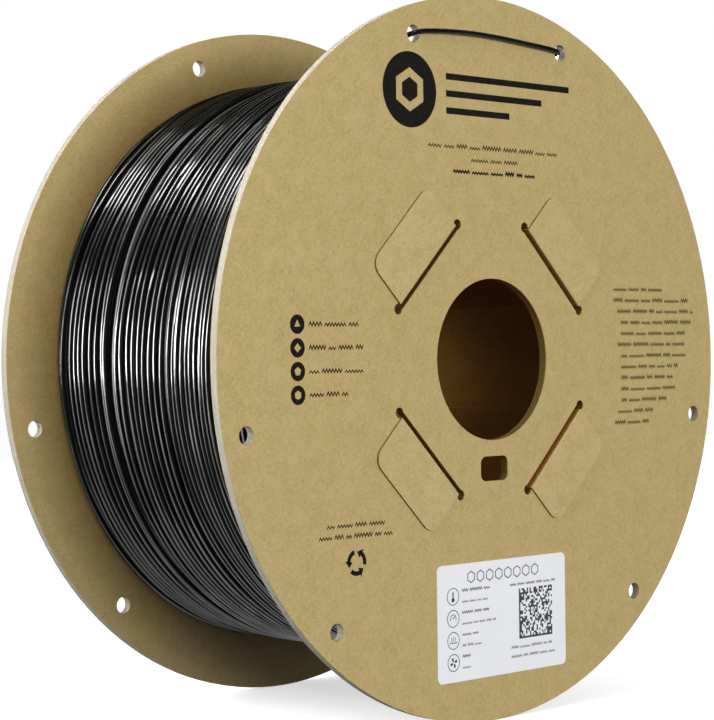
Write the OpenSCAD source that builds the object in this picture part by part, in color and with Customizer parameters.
// Large card filament spool: two faced card flanges on an eight-sided folded card core,
// wound full of filament, with the free end parked through two holes in the front flange.
// Millimetres. The spool's axis lies along Y, its centre is the origin, +Z is up.
// The front flange, which carries the label and the parked end, faces -Y.

/* [Spool] */
// Diameter of both flanges
flange_d = 250; // [236:1:310]
// Width over the flanges' outer faces, without the folded tabs
spool_w = 115; // [90:1:140]
// Diameter of the spindle hole through both flanges
bore_d = 56; // [46:0.5:62]

/* [Flange layers] */
// Thickness of a flange's grey board
board_t = 2.4; // [2:0.1:5]
// Thickness of the kraft facing glued to each side of the board
facing_t = 0.3; // [0.2:0.05:0.6]

/* [Core] */
// Width over the flat sides of the eight-sided core sleeve
core_flats = 92; // [86:0.5:112]
// Thickness of the sleeve's folded card
card_t = 0.8; // [0.6:0.05:1.2]
// Thickness of the stiff board wrapped round the sleeve
wrap_t = 2.2; // [1.5:0.1:4]

/* [Locking tabs] */
// Card trimmed off each side of a tab, which is otherwise as wide as a side of the core
tab_trim = 0.05; // [0:0.05:3]
// Reach of a folded tab over the flange, from its bend
tab_reach = 18.5; // [10:0.5:24]
// Radius of a tab's two free corners
tab_corner_r = 5; // [2:0.5:8]
// Open part of a slot, inside the tab that comes through it
slot_gap = 1.8; // [1:0.1:3]
// Room between a tab and the outer edge of its slot
tab_clearance = 0.2; // [0.1:0.05:0.4]
// Room between a tab's side and the round end of its slot
tab_side_clearance = 1.5; // [0.5:0.1:3]
// Diameter of the round relief at each end of a slot
relief_d = 3.6; // [3:0.1:5]

/* [Drive hole] */
// Width of the drive hole under the spindle hole
drive_w = 13.8; // [8:0.1:18]
// Height of the drive hole
drive_h = 8.6; // [5.5:0.1:10.5]
// Radius of the drive hole's corners
drive_corner_r = 2.5; // [1:0.1:4]
// Card left between the spindle hole and the drive hole
drive_land = 5.5; // [4:0.1:7]

/* [Parking holes] */
// Diameter of a hole that parks the filament's end
park_d = 6; // [4:0.1:8]
// Distance from a parking hole's centre to the flange's rim
park_inset = 9.5; // [7:0.1:14]
// Angle between the two holes of a pair, in degrees
park_spread = 37.8; // [20:0.1:60]

/* [Filament] */
// Diameter of the filament
filament_d = 1.75; // [1.5:0.05:3]
// Diameter over the outermost turns
wound_d = 210; // [150:1:220]
// Turns that the outermost layer has
turns = 24; // [6:1:24]
// Room between the last turn and a flange's inner face
end_room = 0.6; // [0.3:0.1:2]

/* [Label] */
// Width of the paper label
label_w = 66; // [40:1:80]
// Height of the label
label_h = 40; // [25:1:46]
// Radius of the label's corners
label_corner_r = 2; // [1:0.5:5]
// Thickness of the label
label_t = 0.15; // [0.1:0.05:0.3]
// Sideways place of the label's centre
label_x = 3.5; // [-20:0.5:20]
// Card left between the label's lower corners and the rim
label_margin = 9.5; // [5:0.5:12]

/* [Hidden] */

$fn = 96;
kraft = "#b39a68";
grey_board = "#cfcabb";
black_filament = "#15171a";
label_white = "#e8e9ea";

// Flanges
outer_y = spool_w / 2;
flange_t = board_t + 2 * facing_t;
inner_y = outer_y - flange_t;

// Core, tabs and slots: the card's outer side lies at core_flats / 2 from the axis
octagon = 8;
tab_count = 4;
tab_w = core_flats * tan(180 / octagon) - 2 * tab_trim;
tab_outer = core_flats / 2;
tab_inner = tab_outer - card_t;
slot_inner = tab_inner - slot_gap;
slot_outer = tab_outer + tab_clearance;
slot_mid = (slot_inner + slot_outer) / 2;
slot_len = tab_w + 2 * tab_side_clearance;
wrap_flats = core_flats + 2 * wrap_t;

// Holes
drive_z = -(bore_d / 2 + drive_land + drive_h / 2);
park_r = flange_d / 2 - park_inset;
park_pairs = 3;

// Label: its lower corners stay label_margin inside the rim
label_corner_x = abs(label_x) + label_w / 2;
label_z = label_h / 2 - sqrt(pow(flange_d / 2 - label_margin, 2) - pow(label_corner_x, 2));

// Outer turns: a helix of straight runs, wound clockwise as seen from the front and
// ending at the front flange, where its last run points at the first parking hole
rings_per_turn = 24;
turn_sides = 6;
turn_step = 360 / rings_per_turn;
turn_r = (wound_d - filament_d) / 2;
turn_y = inner_y - end_room - filament_d / 2;
turn_end_angle = 135;
turn_rings = turns * rings_per_turn;
turn_pitch = 2 * turn_y / turns;
core_gap = 0.05; // between the turns and the winding below them
winding_r = turn_r - (filament_d / 2 + core_gap) / cos(turn_step / 2);

function on_turns(k) = let (
    left = turn_rings - k,
    a = turn_end_angle + turn_step * left
) [turn_r * cos(a), -turn_y + turn_pitch * left / rings_per_turn, turn_r * sin(a)];

// Both ends run straight for one filament diameter, square to the spool's radius there.
// Whole turns begin and end at the same angle, so both ends point the same way.
turn_out = [sin(turn_end_angle), 0, -cos(turn_end_angle)];
turn_up = [cos(turn_end_angle), 0, sin(turn_end_angle)];
turn_start = on_turns(0) - turn_out * filament_d;
turn_end = on_turns(turn_rings) + turn_out * filament_d;
turn_rings_route = [for (k = [0 : turn_rings]) on_turns(k)];
turns_route = concat([turn_start], turn_rings_route, [turn_end]);

// Parked end: on from the last turn along the flange's inner face, out through the first
// parking hole, across the front face and in again through the second
tail_sides = 8;
tail_points = [
    [-62, -53, 85.3], [-55, -53, 92.3], [-49, -53, 98.3], [-44.5, -53, 102.8],
    [-41.6, -53, 105.6], [-39.9, -53.1, 107.1], [-38.8, -54, 108.2],
    [-38.1, -55.3, 108.9], [-37.3, -56.7, 109.4], [-36.3, -58, 109.8],
    [-35, -58.7, 110.1], [-33, -58.9, 110.4], [-29, -58.9, 110.8], [-24, -58.9, 111.2],
    [-18, -58.9, 111.5], [-11, -58.9, 111.7], [-4, -58.9, 111.7], [3, -58.9, 111.5],
    [10, -58.9, 111.2], [17, -58.9, 110.8], [24, -58.9, 110.4], [30, -58.9, 110],
    [33.4, -58.8, 109.7], [35.1, -58.4, 109.6], [36.3, -57.6, 109.4],
    [37.2, -56.4, 109.2], [37.8, -54.9, 109], [38.2, -53.2, 108.9], [38.5, -51.2, 108.9]
];
tail_route = concat([turn_end, turn_end + turn_out * filament_d], tail_points);

function unit(v) = v / norm(v);

// Direction of a route at each of its points
function route_dir(p, i) =
    i == 0 ? unit(p[1] - p[0]) :
    i == len(p) - 1 ? unit(p[i] - p[i - 1]) :
    unit(unit(p[i] - p[i - 1]) + unit(p[i + 1] - p[i]));

// Side directions carried along a route without twist, from a first side direction
function carried(p, side, i = 0, sides = []) =
    i == len(p) ? sides :
    let (
        d = route_dir(p, i),
        s = unit(side - d * (side * d))
    ) carried(p, s, i + 1, concat(sides, [s]));

// A tube along a route of points, as one closed triangle mesh
module route_tube(p, d, sides, first_side) {
    n = len(p);
    side = carried(p, first_side);
    ring = [for (i = [0 : n - 1], k = [0 : sides - 1]) let (
        a = 360 * k / sides,
        v = cross(route_dir(p, i), side[i])
    ) p[i] + (side[i] * cos(a) + v * sin(a)) * d / 2];
    walls = [for (i = [0 : n - 2], k = [0 : sides - 1]) let (
        a = i * sides + k,
        b = i * sides + (k + 1) % sides
    ) each [[a, b, b + sides], [a, b + sides, a + sides]]];
    start = [for (k = [1 : sides - 2]) [0, k + 1, k]];
    last = (n - 1) * sides;
    end = [for (k = [1 : sides - 2]) [last, last + k, last + k + 1]];
    polyhedron(ring, [for (f = concat(walls, start, end)) [f[2], f[1], f[0]]]);
}

// Least distance from one turn to the next, less the filament's diameter, looking a few
// rings to either side of the ring that lies right beside
look_aside = 3;
turn_gap = min([
    for (i = [0 : turn_rings - rings_per_turn], j = [-look_aside : look_aside])
        let (beside = min(i + rings_per_turn + j, turn_rings))
            norm(turn_rings_route[i] - turn_rings_route[beside])
]) - filament_d;
tail_gap = min([
    for (point = tail_points, k = [0 : turn_rings - rings_per_turn])
        norm(point - turn_rings_route[k])
]) - filament_d;
echo(least_gap_between_turns = turn_gap);
echo(least_gap_from_tail_to_turns = tail_gap);

// Extrudes an outline drawn in X and Z between two Y values
module slab(y_low, y_high) {
    translate([0, y_high, 0])
        rotate([90, 0, 0])
            linear_extrude(y_high - y_low)
                children();
}

module rounded_rect(w, h, r) {
    square([w - 2 * r, h], center = true);
    square([w, h - 2 * r], center = true);
    for (x = [-1, 1], y = [-1, 1])
        translate([x * (w / 2 - r), y * (h / 2 - r)])
            circle(r);
}

// Four slots that the core's tabs come through, with round ends
module slots() {
    for (k = [0 : tab_count - 1]) rotate(45 + 90 * k) {
        translate([slot_inner, -slot_len / 2])
            square([slot_outer - slot_inner, slot_len]);
        for (side = [-1, 1])
            translate([slot_mid, side * slot_len / 2])
                circle(d = relief_d);
    }
}

module park_holes() {
    for (k = [0 : park_pairs - 1], side = [-1, 1])
        rotate(90 + 120 * k + side * park_spread / 2)
            translate([park_r, 0])
                circle(d = park_d);
}

module flange_outline() {
    difference() {
        circle(d = flange_d);
        circle(d = bore_d);
        slots();
        park_holes();
        translate([0, drive_z])
            rounded_rect(drive_w, drive_h, drive_corner_r);
    }
}

// One layer of the front flange, from a depth below its outer face
module flange_layer(depth, thickness) {
    slab(-outer_y + depth, -outer_y + depth + thickness)
        flange_outline();
}

// An octagon with a flat side to the right, sized over its flat sides
module octagon_outline(flats) {
    rotate(180 / octagon)
        circle(d = flats / cos(180 / octagon), $fn = octagon);
}

module octagon_ring(flats_out, flats_in) {
    difference() {
        octagon_outline(flats_out);
        octagon_outline(flats_in);
    }
}

// A tab's free part, flat on the flange: square at its bend, rounded at its far corners
module tab_outline() {
    r = tab_corner_r;
    translate([tab_outer, -tab_w / 2])
        square([tab_reach - r, tab_w]);
    translate([tab_outer, -tab_w / 2 + r])
        square([tab_reach, tab_w - 2 * r]);
    for (side = [-1, 1])
        translate([tab_outer + tab_reach - r, side * (tab_w / 2 - r)])
            circle(r);
}

// A front tab: straight on from the sleeve's wall through its slot, a rounded bend and the
// flat part. It is drawn pointing along X and turned to its slot.
module front_tab() {
    slab(-outer_y, -inner_y + card_t)
        translate([tab_inner, -tab_w / 2])
            square([card_t, tab_w]);
    intersection() {
        translate([tab_outer, -outer_y, -tab_w / 2])
            cylinder(h = tab_w, r = card_t);
        translate([tab_inner, -outer_y - card_t, -tab_w / 2])
            cube([card_t, card_t, tab_w]);
    }
    slab(-outer_y - card_t, -outer_y)
        tab_outline();
}

module front_tabs() {
    for (k = [0 : tab_count - 1])
        rotate([0, -(45 + 90 * k), 0])
            front_tab();
}

module front_flange_board() {
    color(grey_board) flange_layer(facing_t, board_t);
}

module front_outer_facing() {
    color(kraft) flange_layer(0, facing_t);
}

module front_inner_facing() {
    color(kraft) flange_layer(facing_t + board_t, facing_t);
}

module rear_flange_board() {
    mirror([0, 1, 0]) front_flange_board();
}

module rear_outer_facing() {
    mirror([0, 1, 0]) front_outer_facing();
}

module rear_inner_facing() {
    mirror([0, 1, 0]) front_inner_facing();
}

// One folded sheet: an eight-sided tube between the flanges with four tabs at each end
module core_sleeve() {
    color(kraft) union() {
        slab(-inner_y, inner_y)
            octagon_ring(core_flats, core_flats - 2 * card_t);
        front_tabs();
        mirror([0, 1, 0]) front_tabs();
    }
}

// Stiff board round the sleeve, which keeps the flanges apart and carries the winding
module core_wrap() {
    color(grey_board)
        slab(-inner_y, inner_y)
            octagon_ring(wrap_flats, core_flats);
}

// Everything wound below the outermost layer
module filament_winding() {
    color(black_filament)
        slab(-inner_y, inner_y)
            difference() {
                polygon([for (k = [0 : rings_per_turn - 1]) let (
                    a = turn_end_angle + turn_step * k
                ) winding_r * [cos(a), sin(a)]]);
                octagon_outline(wrap_flats);
            }
}

module filament_outer_turns() {
    color(black_filament)
        route_tube(turns_route, filament_d, turn_sides, turn_up);
}

module filament_tail() {
    color(black_filament)
        route_tube(tail_route, filament_d, tail_sides, [0, -1, 0]);
}

module product_label() {
    color(label_white)
        slab(-outer_y - label_t, -outer_y)
            translate([label_x, label_z])
                rounded_rect(label_w, label_h, label_corner_r);
}

front_flange_board();
front_outer_facing();
front_inner_facing();
rear_flange_board();
rear_outer_facing();
rear_inner_facing();
core_sleeve();
core_wrap();
filament_winding();
filament_outer_turns();
filament_tail();
product_label();
